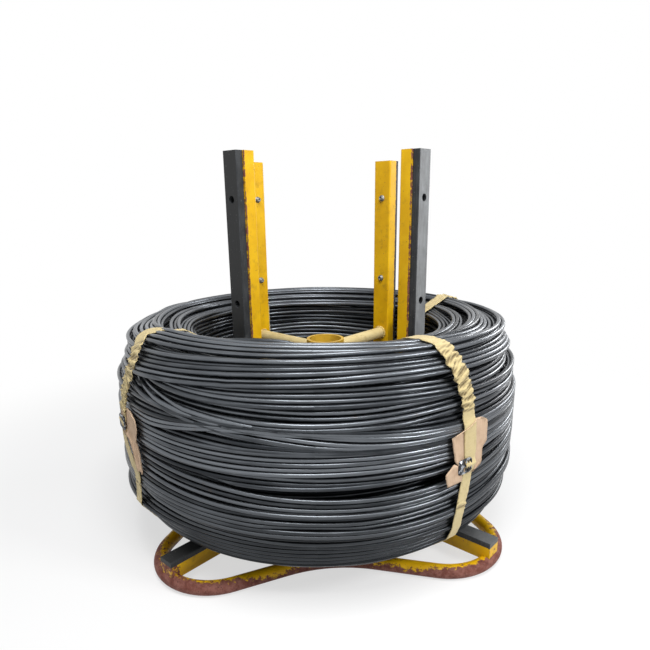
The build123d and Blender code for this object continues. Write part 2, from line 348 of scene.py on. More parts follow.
def yellow_paint(name, wear, rust, yellow_dull=srgb(204, 156, 6), yellow_clean=srgb(220, 174, 14)):
    """Satin yellow paint with dirt. Where wear is high it has come off, down to primer and rust."""
    g = Graph(name)
    out, side = carrier_lines(g)
    height = g.parts(g.place)[2]
    chips = g.noise(0.012, 5, 0.68)
    broad = g.noise(0.09, 3, 0.6)
    worn = g.weighed((wear(g, out, side, height), 1.0), (chips, 1.1), (broad, 0.5))
    bare = g.span(worn, 1.20, 1.26)
    rim = g.span(worn, 1.14, 1.21)
    yellow = g.mix(g.span(broad, 0.3, 0.7), yellow_dull, yellow_clean)
    grime = g.times(g.span(g.noise(0.03, 5, 0.7), 0.52, 0.75), 0.45)
    specks = g.span(g.noise(0.006, 3, 0.6), 0.695, 0.715)
    yellow = g.mix(grime, yellow, srgb(128, 98, 34))
    yellow = g.mix(g.times(rim, 0.6), yellow, srgb(120, 82, 24))
    below = g.mix(g.span(g.noise(0.02, 5, 0.7), 0.35, 0.65), srgb(98, 52, 42), rust)
    below = g.mix(g.span(g.noise(0.004, 3, 0.6), 0.58, 0.7), below, srgb(46, 34, 30))
    base = g.mix(g.math("MAXIMUM", bare, specks), yellow, below)
    rough = g.span(bare, 0.0, 1.0, 0.42, 0.72)
    relief = g.bump(g.weighed((bare, -1.0), (g.noise(0.003, 3), 0.25)), 0.00035, 0.8)
    return g.finish(base_color=base, roughness=rough, specular_ior_level=0.28, normal=relief)


def edge_wear(g, out, side, height):
    """An upright's paint is off along its flanges' edges, and chipped at its outer corners."""
    tip = g.span(out, *flange_edges, 0.0, 0.42)
    corner = g.span(side, *web_corners, 0.0, 0.10)
    foot = g.span(height, *upright_feet, 0.0, 0.25)
    return g.math("ADD", g.math("ADD", tip, corner), foot)


def pipe_wear(g, out, side, height):
    """The bent pipe is bare on its outer and lower sides, and most of all at the petals' tips."""
    facing_out, facing_up = g.facing()
    x, y, _ = g.parts(g.place)
    tips = g.span(g.level_length(x, y), *petal_tips, 0.0, 0.42)
    return g.math("ADD", g.weighed((tips, 1.0), (facing_out, 0.22), (facing_up, -0.26)), 0.30)


def arm_wear(g, out, side, height):
    """An arm is worn at its end and along its lower edges."""
    end = g.span(out, *arm_ends, 0.0, 0.40)
    low = g.span(height, *arm_feet, 0.0, 0.16)
    return g.math("ADD", g.math("ADD", end, low), 0.08)


def light_wear(g, out, side, height):
    """The tube and the struts are worn only near the floor."""
    return g.span(height, *tube_feet, -0.05, 0.22)


def black_nylon(name, face, top=0.0):
    """Black plastic, scuffed in streaks along the bar. Its outward face is a grey level, 0 to 255: worn, and
    painted light as well, lighter where more light falls.

    With top at 1 its upper face is lighter too, worn and painted light.
    """
    g = Graph(name)
    x, y, z = g.parts(g.place)
    drawn = g.vector(g.times(x, 5.0), g.times(y, 5.0), g.times(z, 0.35))
    streak = g.noise(0.02, 5, 0.7, drawn)
    cloud = g.noise(0.05, 4, 0.65)
    scuffed = g.span(g.weighed((streak, 0.6), (cloud, 0.5)), 0.40, 0.74)
    facing_out, facing_up = g.facing()
    darker, lighter = srgb(0.86 * face, 0.87 * face, 0.88 * face), srgb(1.1 * face, 1.12 * face, 1.13 * face)
    edge = g.mix(scuffed, srgb(38, 40, 42), srgb(62, 64, 66))
    # painted light: the outward face, and with top the upper face, is lighter where more light falls, as
    # well as worn
    worn_and_lit_side = g.math("MAXIMUM", facing_out, g.times(facing_up, top))
    base = g.mix(g.span(worn_and_lit_side, 0.86, 0.93), edge, g.mix(scuffed, darker, lighter))
    nicks = g.span(g.noise(0.006, 4, 0.7), 0.64, 0.72)
    base = g.mix(g.times(nicks, 0.5), base, srgb(150, 150, 146))
    rough = g.span(scuffed, 0.0, 1.0, 0.48, 0.68)
    return g.finish(base_color=base, roughness=rough, specular_ior_level=0.2, normal=g.bump(streak, 0.0004))


def cream_webbing():
    """Woven polyester webbing, a little dirty, with its weave as fine relief, and painted shade in its
    weave's hollows and its folds.
    """
    g = Graph("cream_webbing")
    u, v, _ = g.parts(g.node("UVMap", uv_map="UVMap").outputs[0])
    rib_pitch, pick_pitch = 0.0022, 0.0030
    ribs = g.math("SINE", g.times(u, 2 * math.pi / rib_pitch))
    picks = g.math("SINE", g.times(v, 2 * math.pi / pick_pitch))
    weave = g.weighed((g.times(ribs, picks), 0.5), (ribs, 0.35))
    dirt = g.span(g.noise(0.018, 5, 0.7), 0.5, 0.78, 0.0, 0.55)
    base = g.mix(g.noise(0.05, 3), srgb(188, 169, 118), srgb(204, 187, 140))
    base = g.mix(dirt, base, srgb(158, 136, 92))
    # painted shade: darker in the weave's low places
    base = g.mix(g.span(weave, -0.2, -0.8, 0.0, 0.25), base, srgb(150, 130, 90))
    # painted shade at the bottoms of deep folds, read from the tone attribute
    painted_crease_shade = g.node("Attribute", attribute_name="tone").outputs["Fac"]
    base = g.mix(g.span(painted_crease_shade, 0.1, 0.9, 0.0, 0.75), base, srgb(92, 74, 44))
    relief = g.bump(weave, 0.0003)
    return g.finish(base_color=base, roughness=0.82, normal=relief, sheen_weight=0.15, sheen_roughness=0.5)


def brown_cardboard():
    """Corrugated cardboard, with its flutes showing through the liner."""
    g = Graph("brown_cardboard")
    u, v, _ = g.parts(g.node("UVMap", uv_map="UVMap").outputs[0])
    flute_pitch = 0.0075
    flutes = g.math("SINE", g.times(u, 2 * math.pi / flute_pitch))
    fibre = g.noise(0.0015, 4, 0.7)
    stain = g.span(g.noise(0.03, 4, 0.6), 0.45, 0.75, 0.0, 0.5)
    base = g.mix(g.noise(0.02, 3), srgb(190, 164, 136), srgb(200, 174, 148))
    base = g.mix(stain, base, srgb(156, 124, 98))
    base = g.mix(g.times(fibre, 0.25), base, srgb(150, 118, 92))
    relief = g.bump(g.weighed((flutes, 0.35), (fibre, 1.0)), 0.0004)
    return g.finish(base_color=base, roughness=0.88, normal=relief)


def dark_buckle():
    """Black-oxide steel, rubbed bright in places."""
    g = Graph("dark_buckle")
    rubbed = g.span(g.noise(0.012, 4, 0.6), 0.50, 0.62)
    base = g.mix(rubbed, srgb(52, 54, 58), srgb(176, 180, 186))
    rough = g.span(rubbed, 0.0, 1.0, 0.5, 0.3)
    return g.finish(base_color=base, metallic=0.8, roughness=rough, normal=g.bump(g.noise(0.002, 3), 0.0002))


def plated_bolt():
    """Dull zinc plating."""
    g = Graph("plated_bolt")
    dull = g.noise(0.006, 4, 0.65)
    base = g.mix(g.span(dull, 0.35, 0.7), srgb(90, 92, 92), srgb(150, 150, 146))
    return g.finish(base_color=base, metallic=0.8, roughness=g.span(dull, 0.3, 0.7, 0.35, 0.6))


def weld_metal():
    """Painted weld: dull yellow with burnt edges."""
    g = Graph("weld_metal")
    burnt = g.span(g.noise(0.008, 4, 0.7), 0.45, 0.62)
    base = g.mix(burnt, srgb(214, 186, 110), srgb(112, 92, 48))
    return g.finish(base_color=base, roughness=0.55, normal=g.bump(g.noise(0.002, 3), 0.0003))


# The coil's turns

def smooth_ring(values, spread):
    """A closed row of values, smoothed with a bell of that spread in steps."""
    reach = int(4 * spread) + 1
    steps = np.arange(-reach, reach + 1)
    bell = np.exp(-0.5 * (steps / spread) ** 2)
    bell /= bell.sum()
    padded = np.concatenate([values[-reach:], values, values[:reach]])
    return np.convolve(padded, bell, "valid")


def unit(rows):
    """Each row scaled to a length of 1."""
    return rows / np.linalg.norm(rows, axis=-1)[..., None]


def outward(line, step=1):
    """Unit normals of a closed line in the half section."""
    along = np.roll(line, -step, 0) - np.roll(line, step, 0)
    return unit(np.stack([along[:, 1], -along[:, 0]], 1))


def section_line():
    """The line through the outer turns' middles in a half section, and its normals.

    It has a point each millimetre, starts at the bore's foot and goes out along the underside, up the
    flank, over the top and down the bore.
    """
    corner = np.array(section_corners + section_corners[:1], float)
    steps = np.r_[0, np.cumsum(np.hypot(*np.diff(corner, axis=0).T))]
    at = np.arange(0, steps[-1])
    rounded = [smooth_ring(np.interp(at, steps, corner[:, axis]), section_rounding) for axis in (0, 1)]
    line = np.stack(rounded, 1)
    normal = outward(line, 3)
    return line - normal * (wire / 2 + flank_inset), normal


section, section_normal = section_line()
section_length = len(section)
headings = np.arange(stations) * 360 / stations - 180
heel = section_corners[1][0] - section_corners[0][0]  # where the underside ends
shoulder = heel + int(np.argmax(section[heel:, 1] + wire / 2 > shoulder_start))


def on_section(place):
    """Points and normals of the section line at places in millimetres along it."""
    known = np.arange(section_length + 1)
    place = np.asarray(place) % section_length
    columns = [*section.T, *section_normal.T]
    x, y, normal_x, normal_y = [np.interp(place, known, np.r_[column, column[0]]) for column in columns]
    return np.stack([x, y], -1), np.stack([normal_x, normal_y], -1)


def place_at(level):
    """Place on the section line of a turn whose lit line is at a level."""
    lit = section[:, 1] + lit_rise
    on_flank = np.interp(level, lit[heel:shoulder], np.arange(heel, shoulder))
    return np.where(level < shoulder_start, on_flank, shoulder + level - shoulder_start)


def round_coil(table):
    """A value for each station from a table of {heading: value}, smooth and closed."""
    known, value = np.array(sorted(table.items()), float).T
    fine = np.arange(-180, 180, 1.0)
    shaped = smooth_ring(np.interp(fine, known, value, period=360), 4.0)
    return np.interp(headings, fine, shaped, period=360)


def swell(at, reach, rise):
    """A rise of the turns round one heading."""
    off = (headings - at + 180) % 360 - 180
    return rise * np.exp(-((off / reach) ** 2))


def waver(size):
    """A gentle random wave round the coil."""
    radians = np.radians(headings)
    orders = range(1, 7)
    wave = sum(draw.normal() / order * np.sin(order * radians + draw.uniform(0, 6.3)) for order in orders)
    return size * wave / 1.2


def to_space(line, heading):
    """Points of the half section at headings, in millimetres from the carrier's origin."""
    reach, level, turn = np.broadcast_arrays(line[..., 0], line[..., 1], np.radians(heading))
    return np.stack([coil_shift + reach * np.sin(turn), -reach * np.cos(turn), level], -1)


def leaned(turn):
    """A turn with the lean of the coil's top: its front is raised, and its back is lowered."""
    share = np.clip((turn[:, 1] - tilt_start) / (tilt_end - tilt_start), 0, 1)
    inward = np.clip((turn[:, 0] - lean_inside) / (lean_outside - lean_inside), 0, 1)
    forward = np.cos(np.radians(headings))
    lift = share * np.where(forward > 0, tilt_front * inward, tilt_back) * forward
    return np.stack([turn[:, 0], turn[:, 1] + lift], 1)


class Winding:
    """The turns laid so far. Each new turn comes to rest on those below it."""

    def __init__(self):
        self.turns = []

    def lay(self, place, rise):
        """A turn along places on the section line, no lower than rise over it and over the turns there."""
        point, normal = on_section(place)
        level = rise.copy()
        for other in self.turns:
            gap = other - point
            along = (gap * normal).sum(1)
            across = (gap**2).sum(1) - along**2
            rest = along + np.sqrt(np.maximum(wire**2 - across, 0))
            level = np.where(across < wire**2, np.maximum(level, rest), level)
        bridged = level.copy()
        for _ in range(bridge_rounds):
            bridged = np.maximum(level, 0.25 * (np.roll(bridged, 1) + np.roll(bridged, -1)) + 0.5 * bridged)
        turn = point + normal * bridged[:, None]
        turn[:, 1] = np.maximum(turn[:, 1], coil_bottom + wire / 2)
        turn[:, 0] = np.minimum(turn[:, 0], coil_belly - belly_gap - wire / 2)
        self.turns.append(turn)

    def bundle(self, turns, rise, top, bottom):
        """Neighbouring turns between two edges. A pair of rises is for the upper and the lower one."""
        upper = place_at(round_coil(top))
        lower = place_at(round_coil(bottom))
        rise, low_rise = rise if isinstance(rise, tuple) else (rise, rise)
        for turn in range(turns):
            share = turn / max(turns - 1, 1)
            lift = (1 - share) * rise + share * low_rise
            self.lay(upper + (lower - upper) * share + waver(0.8), lift + waver(0.6))

    def band(self, first, last, turns, rise, slack, tilt):
        """Turns spread over a stretch of the section line, in loose groups of three that lean a little."""
        pitch = (last - first) / turns
        lean = waver(tilt)
        depth = waver(slack * 0.6)
        for turn in range(turns):
            if turn % 3 == 0:
                lean = 0.4 * lean + waver(tilt)
                depth = waver(slack * 0.7) + draw.uniform(-slack, 0.3 * slack)
            place = first + pitch * (turn + 0.5) + lean + waver(0.12 * pitch)
            self.lay(place, rise + depth)


# The middle of the slanting bundle, {heading: level}
slant = {-120: 664, -80: 664, -62: 640, -52: 608, -44: 590, -35: 570, -26: 554, -17: 541, -9: 533, 0: 520,
        9: 508, 17: 501, 26: 497, 36: 495, 60: 497, 90: 503, 180: 540}
slant_end = -61  # it is wider to the left of this heading

# The flank's bundles of turns, inner ones first: count of turns, rise over the section line, upper edge
# and lower edge. Some are named by their place in the photo, and their edges are tables of {heading: level}.
flank_bundles = [
    # Rows that cross the middle from the left edge and dive under the slanting bundle
    (4, -4 + swell(80, 45, -20) + swell(-62, 16, -14),
     {-90: 572, -50: 558, -20: 540, 0: 514, 20: 500, 40: 494, 90: 500, 180: 540},
     {-90: 512, -50: 508, -20: 500, 0: 496, 20: 486, 40: 478, 90: 476, 180: 490}),
    # Fan that opens to the right, under the slanting bundle
    (5, -6 + swell(180, 110, -16),
     {-90: 560, -20: 560, 0: 556, 10: 552, 22: 548, 36: 545, 60: 538, 90: 532, 180: 545},
     {-90: 500, -40: 510, -20: 540, 0: 536, 10: 525, 20: 513, 36: 500, 60: 500, 90: 490, 180: 490}),
    # Two rows under the middle
    (2, -3,
     {-60: 430, -30: 428, -10: 425, 0: 420, 20: 416, 40: 418, 60: 428, 90: 426, 180: 430},
     {-60: 417, -30: 414, -10: 410, 0: 405, 20: 400, 36: 398, 60: 412, 90: 411, 180: 415}),
    (2, -22 + swell(65, 25, 21),
     {-180: 402, 0: 398, 40: 400, 60: 406, 90: 402},
     {-180: 390, 0: 384, 40: 386, 60: 392, 90: 388}),
    (4, -3,
     {-90: 342, -60: 338, -45: 340, -27: 327, -10: 322, 0: 321, 10: 312, 40: 314, 55: 319, 75: 316,
      180: 328},
     {-60: 308, -45: 304, -35: 300, -20: 293, 20: 273, 36: 276, 50: 282, 90: 280, 180: 290}),
    (3, -1 + swell(-46, 14, -6),
     {-90: 258, -46: 250, -20: 246, 0: 240, 15: 238, 35: 240, 55: 240, 90: 245, 180: 250},
     {-90: 232, -50: 232, -44: 230, -35: 221, -20: 217, 0: 214, 10: 213, 15: 213, 30: 214, 40: 212, 90: 219,
      180: 225}),
    (5, 0.0,
     {-90: 218, -50: 226, -45: 213, -30: 205, -10: 199, 0: 200, 15: 197, 30: 202, 45: 205, 90: 205,
      180: 212},
     {-90: 146, -40: 152, -20: 148, 0: 146, 20: 148, 35: 154, 90: 148, 180: 146}),
    # Bundle below the wedge-shaped gap on the left. It sinks there and rises to the right.
    (4, swell(-48, 13, -34),
     {-100: 600, -60: 608, -38: 606, -30: 600, -20: 596, -10: 590, 0: 586, 10: 586, 30: 594, 45: 592,
      56: 588, 70: 586, 90: 582, 180: 590},
     {-100: 560, -60: 566, -45: 568, -38: 564, -30: 560, -10: 548, 0: 546, 10: 546, 20: 549, 30: 554,
      36: 556, 60: 549, 90: 542, 180: 550}),
    (3, 1,
     {-90: 302, -45: 297, -30: 285, -15: 279, 0: 275, 15: 269, 35: 270, 52: 288, 75: 286, 180: 292},
     {-90: 270, -50: 264, -40: 263, -20: 253, 0: 249, 15: 244, 35: 244, 53: 262, 60: 260, 75: 258,
      180: 264}),
    (4, 1 + swell(60, 18, 5),
     {-90: 402, -50: 402, -42: 400, -28: 388, -20: 380, -10: 368, 0: 361, 5: 358, 20: 354, 30: 356, 45: 372,
      60: 384, 90: 386, 180: 398},
     {-90: 352, -45: 350, -38: 342, -30: 335, -15: 325, 0: 320, 10: 316, 20: 314, 30: 317, 50: 334, 60: 340,
      75: 338, 180: 350}),
    (3, round_coil({-180: -18, -120: -36, -66: -38, -58: -22, -50: -2, -44: 0, 60: 0, 100: -10}),
     {heading: level + (13 if heading > slant_end else 36) for heading, level in slant.items()},
     {heading: level - (13 if heading > slant_end else 24) for heading, level in slant.items()}),
    (5, 1,
     {-90: 496, -45: 494, -10: 490, 0: 490, 10: 488, 20: 485, 34: 481, 60: 480, 90: 482, 180: 496},
     {-90: 446, -48: 444, -40: 438, -30: 433, -20: 433, 0: 437, 20: 437, 34: 433, 60: 430, 90: 430,
      180: 442}),
    # Rows that come out from under the top bundle, where they run deep on the left
    (4, round_coil({-180: -10, -120: -34, -60: -44, -48: -38, -43: -24, -36: -6, -30: 0, 40: 0, 75: -14,
        110: -12}),
     {-120: 800, -80: 795, -60: 745, -48: 660, -40: 640, -30: 632, -20: 632, 0: 638, 20: 636, 35: 630,
      70: 630, 90: 628, 180: 640},
     {-120: 700, -80: 692, -60: 660, -48: 632, -40: 616, -30: 607, -20: 602, 0: 601, 20: 601, 36: 597,
      56: 593, 70: 592, 90: 590, 180: 600}),
    # Top bundle
    (5, (swell(-86, 34, -28) + swell(72, 35, -16),
         swell(-86, 36, -36) + swell(72, 35, -20)),
     {-130: 684, -90: 678, -53: 672, -40: 681, -30: 688, -20: 694, -10: 698, 0: 700, 20: 702, 35: 700,
      60: 700, 90: 696, 180: 690},
     {-130: 630, -90: 624, -50: 624, -30: 634, -20: 640, -10: 645, 10: 651, 20: 652, 32: 652, 60: 648,
      90: 642, 180: 636}),
    (2, -7 + swell(-86, 34, -24) + swell(72, 35, -12),
     {-120: 706, -90: 700, -55: 705, -30: 712, 0: 713, 30: 710, 60: 708, 90: 704, 180: 706},
     {-120: 694, -90: 686, -53: 688, -40: 696, -20: 704, 0: 705, 60: 703, 90: 698, 180: 698}),
    (4, swell(-86, 32, -24) + swell(-50, 12, 15) + swell(72, 35, -14),
     {-120: 776, -90: 772, -60: 771, -50: 775, -30: 789, -15: 791, 0: 786, 30: 766, 60: 764, 90: 770,
      180: 776},
     {-120: 718, -90: 716, -55: 714, -50: 717, -40: 722, -30: 726, -20: 728, 0: 727, 20: 723, 30: 720,
      60: 716, 90: 716, 180: 720}),
]
crest_bundle = (  # laid after the flank's
    3, -3 + swell(12, 42, -32) + swell(-60, 28, -18),
    {-120: 816, -90: 814, -60: 806, -45: 815, -30: 838, 0: 845, 30: 832, 45: 815, 60: 806, 90: 814,
     180: 812},
    {-120: 790, -90: 786, -60: 785, -45: 792, -30: 803, 0: 801, 30: 781, 60: 779, 90: 786, 180: 789},
)


def lay_top(winding):
    """The turns on top, in rings with a groove between them, and those down the bore."""
    winding.bundle(*crest_bundle)
    rim = float(place_at(836.0))
    sunk = swell(-52, 22, -16)
    winding.band(rim, rim + 42, turns=3, rise=-5 + swell(18, 50, -46) + sunk, slack=3, tilt=3)
    winding.band(rim + 46, rim + 94, turns=4, rise=-9 + swell(18, 60, -40) + sunk, slack=4, tilt=4)
    bore, foot, bore_pitch = rim + 100, section_length + 4, 17.5
    winding.band(bore, foot, turns=int((foot - bore) / bore_pitch), rise=-4, slack=8, tilt=8)


def lay_coil():
    """The coil's turns in three lists: those that show little, the flank's and those of the top and bore."""
    winding = Winding()
    crest = shoulder + 95
    rim = shoulder + 290
    winding.band(0, heel, turns=9, rise=-24, slack=2, tilt=2)
    winding.band(heel, crest, turns=40, rise=-38 + swell(-72, 30, -16), slack=4, tilt=9)
    winding.band(crest + 20, rim, turns=5, rise=-46 + swell(15, 60, -8), slack=3, tilt=5)
    deep = -40 + swell(15, 60, -22) + swell(-52, 24, -14)
    winding.band(rim, section_length, turns=26, rise=deep, slack=6, tilt=7)
    inner = len(winding.turns)
    for row in flank_bundles:
        winding.bundle(*row)
    start, foot, foot_pitch = 8, float(place_at(142.0)), 1.08 * wire
    winding.band(start, foot, turns=int((foot - start) / foot_pitch), rise=0, slack=1.5, tilt=1.5)
    outer = len(winding.turns)
    lay_top(winding)
    turns = [leaned(turn) for turn in winding.turns]
    return turns[:inner], turns[inner:outer], turns[outer:]


def turn_rings(turn):
    """A turn's tube as rings of points."""
    around = 2 * np.pi * (np.arange(wire_sides) + 0.5) / wire_sides
    circle = wire / 2 * np.stack([np.cos(around), np.sin(around)], 1)
    return to_space(turn[:, None] + circle, headings[:, None])


def add_turns(name, turns, material):
    """One piece of turns, each with a tone of its own."""
    tones = draw.uniform(0, 1, len(turns))
    rings = [turn_rings(turn) for turn in turns]
    add_lofts(name, rings, material, ["wire_coil"], tones=tones)


def add_core(material):
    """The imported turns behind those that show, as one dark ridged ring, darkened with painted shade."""
    at = np.arange(0, section_length, core_step)
    point, normal = on_section(at)
    ridge = np.abs(np.sin(np.pi * at / wire)) * core_ridge
    profile = point + normal * (ridge - core_depth)[:, None]
    rings = to_space(profile[None], headings[:, None])
    # tone 0 is the darkest of the turns' tones: painted shade on these deep turns
    add_lofts("packed_turns", [rings], material, ["wire_coil"], tones=[0.0])


# Straps, buckles and cardboard

def taut_line(turns, heading, clearance):
    """A line drawn tight round the coil's section at a heading, that far off its turns.

    It is closed, has a point every strap_step, and starts at the bore and goes out along the underside.
    """
    station = int(round((heading + 180) * stations / 360))
    near = [(station + step) % stations for step in (-1, 0, 1)]
    middles = np.concatenate([turn[near] for turn in turns])
    around = np.radians(np.arange(0, 360, 15))
    circle = (wire / 2 + clearance) * np.stack([np.cos(around), np.sin(around)], 1)
    points = (middles[:, None] + circle).reshape(-1, 2)
    points = points[np.lexsort((points[:, 1], points[:, 0]))]

    def half_hull(row):
        hull = []
        for point in row:
            while len(hull) > 1:
                (ax, ay), (bx, by) = hull[-2], hull[-1]
                if (bx - ax) * (point[1] - ay) - (by - ay) * (point[0] - ax) > 0:
                    break
                hull.pop()
            hull.append(point)
        return hull[:-1]

    hull = np.array(half_hull(points) + half_hull(points[::-1]))
    hull = np.vstack([hull, hull[:1]])
    way = np.r_[0, np.cumsum(np.hypot(*np.diff(hull, axis=0).T))]
    at = np.linspace(0, way[-1], int(way[-1] / strap_step), endpoint=False)
    return np.stack([np.interp(at, way, hull[:, 0]), np.interp(at, way, hull[:, 1])], 1)


def clock(line):
    """Each point's angle round the middle of the section, in degrees: 0 on the flank and 90 on top."""
    return np.degrees(np.arctan2(line[:, 1] - section_middle[1], line[:, 0] - section_middle[0]))


def directions(heading):
    """Unit vectors out along a heading, and level to its right."""
    turn = math.radians(heading)
    return np.array([math.sin(turn), -math.cos(turn), 0.0]), np.array([math.cos(turn), math.sin(turn), 0.0])


def read_table(table, at):
    """Values at places between those of a table of {place: value}."""
    return np.interp(at, list(table), list(table.values()))


def there_and_back(front, back=None):
    """The columns of a sheet's front, and then those of its back in the other order."""
    return np.concatenate([front, (front if back is None else back)[:, ::-1]], 1)


def folds(way, side):
    """How far the folds of a crumpled strap stand out, at places along and across it, from 0 to about 1."""
    total = 0.0
    for length, share in fold_waves:
        lean, phase = draw.uniform(-0.6, 0.6), draw.uniform(0, 6.3)
        swing = 1.1 * np.sin(way / (2.3 * length) + phase)
        swing = swing + 0.8 * np.sin(side / 14 + phase + way / (1.7 * length))
        total = total + share * (1 - np.abs(np.sin(np.pi * (way + lean * side) / length + swing))) ** 1.3
    return total


def ribbon(name, turns):
    """A strap drawn tight round the turns and crumpled in places.

    It gives rings of points, their texture places and how deep each lies in a fold, which the webbing shows
    as painted shade.
    """
    line = taut_line(turns, strap_headings[name], strap_thickness / 2 + strap_gap)
    line = np.stack([smooth_ring(column, 2.0) for column in line.T], 1)
    angle = clock(line)
    way = strap_step * np.arange(len(line))
    drift = smooth_ring(read_table(strap_drift[name], angle), 5.0)
    width = read_table(strap_widths, angle) * read_table(twisted.get(name, {0: 1.0}), angle)
    width = smooth_ring(width, 3.0)
    middle = to_space(line, drift)
    normal = outward(line)
    turn = np.radians(drift)
    out = np.stack([normal[:, 0] * np.sin(turn), -normal[:, 0] * np.cos(turn), normal[:, 1]], 1)
    along = unit(np.roll(middle, -1, 0) - np.roll(middle, 1, 0))
    across = unit(np.cross(along, out))
    columns = np.linspace(-0.5, 0.5, strap_columns)
    crumple = np.full(len(line), flat_crumple)
    for first, last, depth in ruched[name]:
        inside = np.interp(angle, [first - 4, first, last, last + 4], [0.0, 1.0, 1.0, 0.0])
        crumple = np.maximum(crumple, depth * inside)
    crumple = smooth_ring(crumple, 2.0)
    ragged = 1 + 0.012 * crumple * np.sin(way / 6.1 + draw.uniform(0, 6.3))
    sides = columns[None, :] * (width * ragged)[:, None]
    height = crumple[:, None] * folds(way[:, None], sides)
    level = line[:, 1]
    foot, top = board_rows[name][0][0], board_rows[name][-1][0]
    over_board = read_table({foot - 5: 0, foot + 5: 1, top - 5: 1, top + 5: 0}, level)
    over_bar = bar_lift * np.exp(-(((level - buckle_levels[name]) / bar_spread) ** 2))
    lift = np.where(np.abs(angle) < flank_angle, over_board * (board_thickness + board_gap) + over_bar, 0.0)
    height += smooth_ring(lift, 1.5)[:, None]
    place = middle[:, None] + across[:, None] * sides[..., None] + out[:, None] * height[..., None]
    shift = out[:, None] * strap_thickness / 2
    u = there_and_back(sides) / METRE
    v = np.repeat(way[:, None], u.shape[1], 1) / METRE
    # painted shade at the bottoms of the deeper folds
    deep = np.clip((crumple[:, None] - 1.5) / 3, 0, 1)
    painted_crease_shade = deep * np.exp(-((height / (0.28 * crumple[:, None] + 0.4)) ** 2))
    return there_and_back(place + shift, place - shift), np.stack([u, v], -1), there_and_back(painted_crease_shade)


def add_strap(name, turns, material):
    rings, uv, painted_crease_shade = ribbon(name, turns)
    strap = [f"strap_{name}"]
    add_lofts(f"webbing_{name}", [rings], material, strap, uvs=[uv], tones=[painted_crease_shade])


def flank_reach(line, level):
    """How far out a taut line is on the flank at a level."""
    flank = line[np.abs(clock(line)) < flank_angle]
    reach, height = flank[np.argsort(flank[:, 1])].T
    return np.interp(level, height, reach)


def board_sheet(heading, rows, line, stand, peak=0.0):
    """A cardboard sheet's rings and texture places.

    stand(up, aside) gives how far the sheet is off the flank, for shares of its height and width. peak
    is how much higher its top is in the middle.
    """
    height, left, right = np.array(rows, float).T
    count = max(int((height[-1] - height[0]) / board_step), 8)
    level = np.linspace(height[0], height[-1], count)
    left = np.interp(level, height, left) + draw.normal(0, ragged_edge, count)
    right = np.interp(level, height, right) + draw.normal(0, ragged_edge, count)
    aside = np.linspace(0, 1, board_columns)
    sides = left[:, None] + (right - left)[:, None] * aside
    up = np.linspace(0, 1, count)[:, None]
    level = level[:, None] + peak * up * (1 - np.abs(2 * aside - 1))
    reach = flank_reach(line, level) + board_gap + board_thickness / 2 + stand(up, aside)
    turn = heading + np.degrees(sides / coil_belly)
    half = board_thickness / 2
    front, back = [to_space(np.stack([reach + shift, level], -1), turn) for shift in (half, -half)]
    uv = np.stack([there_and_back(sides), there_and_back(level)], -1) / METRE
    return there_and_back(front, back), uv


def bowed(up, aside):
    """A sheet whose sides bend away from the coil."""
    return 7.0 * (2 * aside - 1) ** 4 + 1.2 * np.sin(5 * up + 3 * aside)


def torn(up, aside):
    """A flap whose free corner stands off the coil."""
    return 3.0 + 9.0 * up * (1 - aside) + 5.0 * (1 - aside)


def add_board(name, turns, material):
    """The sheet under a strap's buckle. The front right one has a torn flap."""
    line = taut_line(turns, strap_headings[name], 0.0)
    sheets = [board_sheet(strap_headings[name], board_rows[name], line, bowed)]
    if name == "front_right":
        sheets.append(board_sheet(strap_headings[name], flap_rows, line, torn, flap_peak))
    rings, uvs = zip(*sheets)
    board = [f"cardboard_{name}"]
    add_lofts(f"board_{name}", rings, material, board, closed=False, uvs=uvs)


def rod(path, radius, out, closed):
    """Rings of points round a bent rod, whose bends lie across one outward direction."""
    along = np.roll(path, -1, 0) - np.roll(path, 1, 0) if closed else np.gradient(path, axis=0)
    aside = unit(np.cross(unit(along), out))
    around = 2 * np.pi * np.arange(10)[:, None] / 10
    return path[:, None] + radius * (np.cos(around) * aside[:, None] - np.sin(around) * out)


def add_buckle(name, turns, material):
    """A buckle: a rounded frame of rod, a bar that the strap goes over, a plate and two upright rods."""
    line = taut_line(turns, strap_headings[name], strap_thickness / 2 + strap_gap)
    level = buckle_levels[name]
    angle = math.degrees(math.atan2(level - section_middle[1], coil_belly - section_middle[0]))
    heading = read_table(strap_drift[name], angle)
    out, aside = directions(heading)
    reach = flank_reach(line, level) + board_thickness + board_gap + strap_thickness / 2 + buckle_rod / 2
    centre = to_space(np.array([reach, level]), heading) + buckle_aside.get(name, 0.0) * aside
    wide, tall = (buckle_width - buckle_rod) / 2, (buckle_height - buckle_rod) / 2
    around = np.radians(np.arange(0, 360, 10))
    cosine, sine = np.cos(around), np.sin(around)
    frame_x = np.sign(np.round(cosine, 6)) * (wide - buckle_corner) + buckle_corner * cosine
    frame_y = np.sign(np.round(sine, 6)) * (tall - buckle_corner) + buckle_corner * sine
    path = centre + frame_x[:, None] * aside + frame_y[:, None] * UP
    bar = centre + np.linspace(-wide, wide, 12)[:, None] * aside
    edges = [(-tall, -1.5), (-tall, 2.0), (tall, 2.0), (tall, -1.5)]
    places = (-wide, plate_edge)
    plate = np.array([[centre + x * aside + y * UP + o * out for y, o in edges] for x in places])
    parts = [rod(path, buckle_rod / 2, out, True), rod(bar, bar_radius, out, False), plate]
    for place in tongues:
        tongue = centre + place * aside + np.linspace(-tall, tall, 8)[:, None] * UP
        parts.append(rod(tongue, tongue_radius, out, False))
    closed = [True] + [False] * (len(parts) - 1)
    add_lofts(f"clasp_{name}", parts, material, [f"buckle_{name}"], closed=closed)


# Bolts and welds of the carrier

